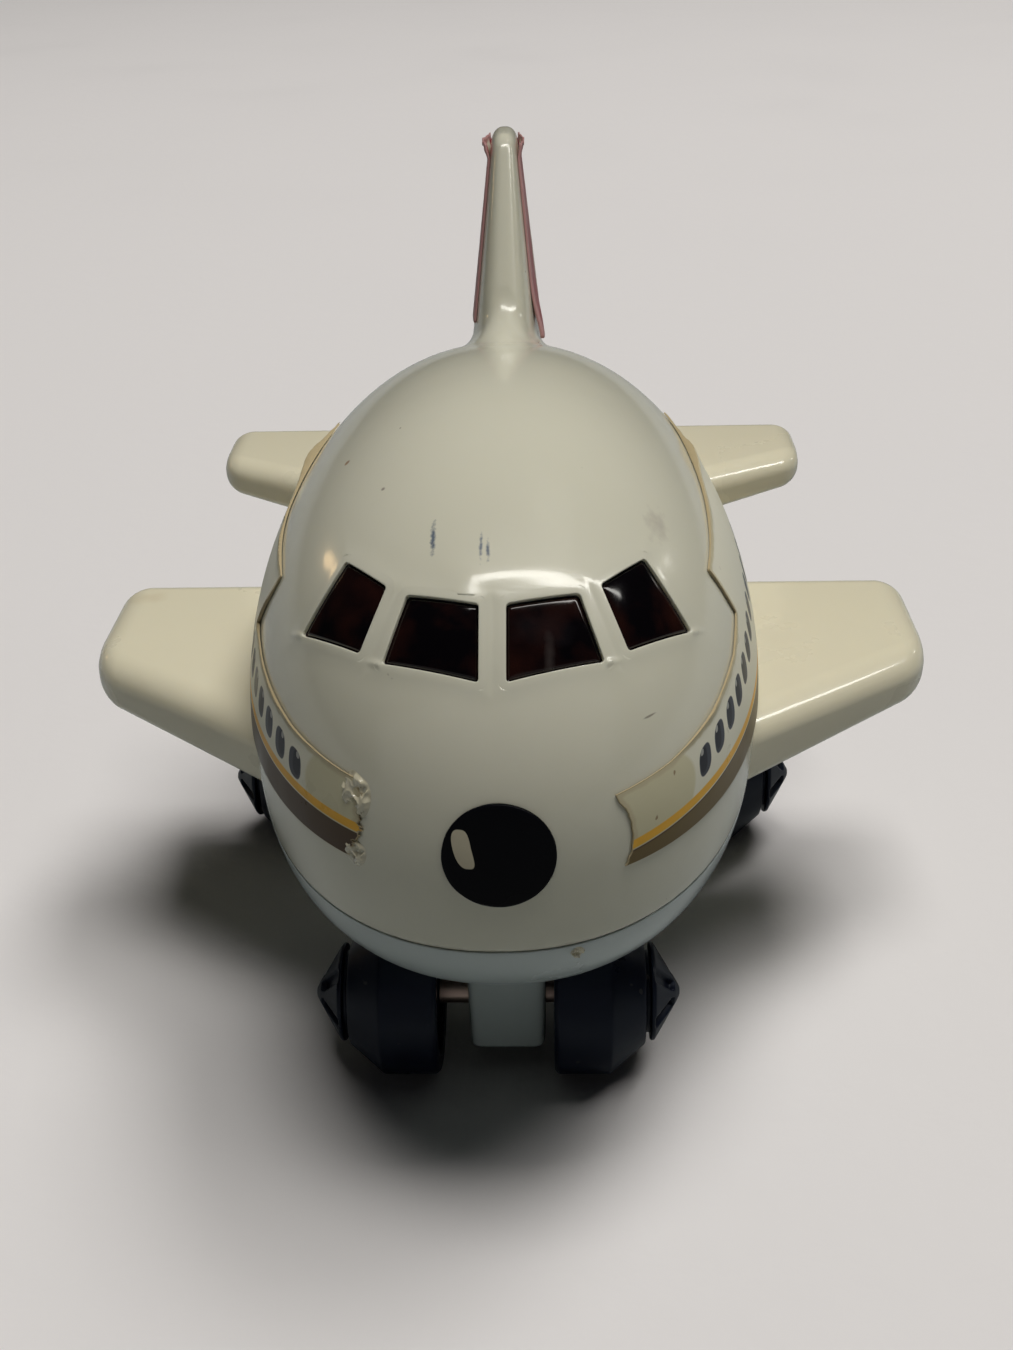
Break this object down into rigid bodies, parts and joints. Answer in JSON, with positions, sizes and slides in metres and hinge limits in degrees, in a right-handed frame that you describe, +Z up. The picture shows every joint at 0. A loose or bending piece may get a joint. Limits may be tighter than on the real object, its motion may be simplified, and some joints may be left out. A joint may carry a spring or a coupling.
{
  "type": "friction toy airplane",
  "caption": "Egg-shaped toy jet with stubby wings, a tall fin, four wheels and a friction flywheel motor geared to the rear axle.",
  "frame": {"origin": "ground level under the middle of the toy's length and width", "axes": "+Z up, -Y towards the nose, +X towards the viewer's right when facing the nose"},
  "size_m": [0.0764, 0.0723, 0.0702],
  "materials": {
    "shell_white": "glossy",
    "hull_white": "glossy",
    "cream_plastic": "glossy",
    "smoked_pane": "glossy",
    "black_plastic": "glossy",
    "black_vinyl": "glossy",
    "vinyl": "satin",
    "red_vinyl": "satin",
    "steel": "bright",
    "zinc": "dull",
    "brass": "satin",
    "nylon": "satin",
    "case_plastic": "satin"
  },
  "bodies": {
    "airframe": {"upper_shell": "shell_white", "lower_hull": "hull_white", "cockpit_glazing": "smoked_pane", "nose_disc": "black_vinyl", "wing_left": "cream_plastic", "wing_right": "cream_plastic", "tailplane_left": "cream_plastic", "tailplane_right": "cream_plastic", "side_sticker_left": "vinyl", "side_sticker_right": "vinyl", "fin_sticker_left": "red_vinyl", "fin_sticker_right": "red_vinyl", "motor_case_left": "case_plastic", "motor_case_right": "case_plastic", "motor_screw_lower": "steel", "motor_screw_upper": "steel", "mount_screw": "steel", "hull_screw_front": "steel", "hull_screw_rear": "steel"},
    "front_wheelset": {"front_axle": "steel", "front_wheel_left": "black_plastic", "front_wheel_right": "black_plastic"},
    "rear_wheelset": {"rear_axle": "steel", "rear_wheel_left": "black_plastic", "rear_wheel_right": "black_plastic", "drive_gear": "nylon"},
    "train_1": {"gear_cluster_1": "nylon", "shaft_1": "steel"},
    "train_2": {"gear_cluster_2": "nylon", "shaft_2": "steel"},
    "flywheel_set": {"flywheel_pinion": "brass", "flywheel_shaft": "steel", "flywheel": "zinc"}
  },
  "joints": [
    {"name": "front_axle_spin", "type": "hinge", "parent": "airframe", "child": "front_wheelset", "pos_m": [0, -0.019, 0.007], "axis": [1, 0, 0], "continuous": true},
    {"name": "rear_axle_spin", "type": "hinge", "parent": "airframe", "child": "rear_wheelset", "pos_m": [0, 0.015, 0.007], "axis": [1, 0, 0], "continuous": true},
    {"name": "train_1_spin", "type": "hinge", "parent": "airframe", "child": "train_1", "pos_m": [0, 0.01225, 0.01176], "axis": [1, 0, 0], "continuous": true},
    {"name": "train_2_spin", "type": "hinge", "parent": "airframe", "child": "train_2", "pos_m": [0, 0.01225, 0.01726], "axis": [1, 0, 0], "continuous": true},
    {"name": "flywheel_spin", "type": "hinge", "parent": "airframe", "child": "flywheel_set", "pos_m": [0, 0.01225, 0.02326], "axis": [1, 0, 0], "continuous": true}
  ],
  "couplings": [
    {"joint": "train_1_spin", "follows": "rear_axle_spin", "ratio": -1.75},
    {"joint": "train_2_spin", "follows": "rear_axle_spin", "ratio": 3.0625},
    {"joint": "flywheel_spin", "follows": "rear_axle_spin", "ratio": -6.125}
  ]
}
